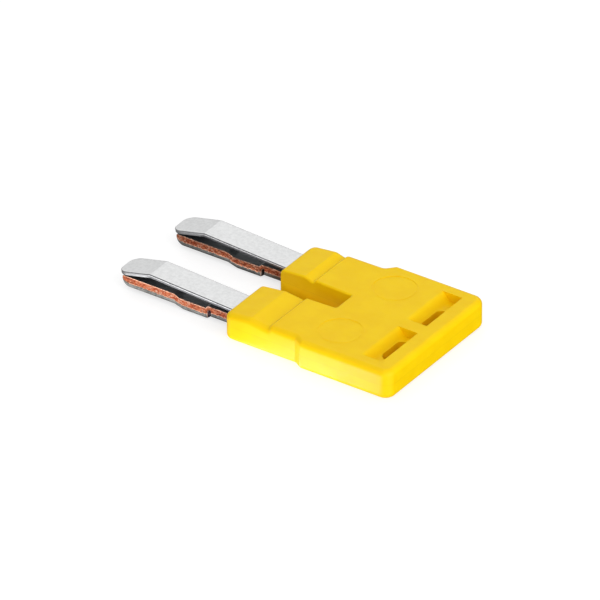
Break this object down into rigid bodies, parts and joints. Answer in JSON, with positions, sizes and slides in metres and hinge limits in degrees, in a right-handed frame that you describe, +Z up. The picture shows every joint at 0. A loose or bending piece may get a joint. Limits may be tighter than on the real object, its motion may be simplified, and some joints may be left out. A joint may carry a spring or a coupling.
{
  "type": "plug-in terminal bridge",
  "caption": "Flat plug-in bridge for rail-mounted terminal blocks: copper blades with leaf springs on them, clamped in a moulded plastic grip with a pull-out pocket at the back.",
  "frame": {"origin": "middle of the whole footprint, on the plane of the flat underside", "axes": "+X runs from the blade tips to the head, +Y to the right-hand blade, +Z up from the underside to the face with the pockets"},
  "size_m": [0.044, 0.0222, 0.0042],
  "materials": {
    "yellow_plastic": "moulded, satin gloss",
    "tinned_copper": "tin-plated faces, bare sheared edges",
    "spring_steel": "fine brushed"
  },
  "bodies": {
    "housing": {"upper_shell": "yellow_plastic", "lower_shell": "yellow_plastic", "copper_comb": "tinned_copper", "left_spring_anchor": "spring_steel", "right_spring_anchor": "spring_steel"},
    "left_leg": {"left_spring_leg": "spring_steel"},
    "left_tip": {"left_spring_tip": "spring_steel"},
    "right_leg": {"right_spring_leg": "spring_steel"},
    "right_tip": {"right_spring_tip": "spring_steel"}
  },
  "joints": [
    {"name": "left_spring_press", "type": "hinge", "parent": "housing", "child": "left_leg", "pos_m": [0.00225, -0.006, 0.0021], "axis": [0, -1, 0], "range_deg": [0, 2], "stiffness_Nm_per_rad": 27},
    {"name": "left_spring_flatten", "type": "hinge", "parent": "left_leg", "child": "left_tip", "pos_m": [-0.01675, -0.006, 0.00365], "axis": [0, 1, 0], "range_deg": [0, 10.45]},
    {"name": "right_spring_press", "type": "hinge", "parent": "housing", "child": "right_leg", "pos_m": [0.00225, 0.006, 0.0021], "axis": [0, -1, 0], "range_deg": [0, 2], "stiffness_Nm_per_rad": 27},
    {"name": "right_spring_flatten", "type": "hinge", "parent": "right_leg", "child": "right_tip", "pos_m": [-0.01675, 0.006, 0.00365], "axis": [0, 1, 0], "range_deg": [0, 10.45]}
  ],
  "couplings": [
    {"joint": "left_spring_flatten", "follows": "left_spring_press", "ratio": 5.2},
    {"joint": "right_spring_flatten", "follows": "right_spring_press", "ratio": 5.2}
  ]
}
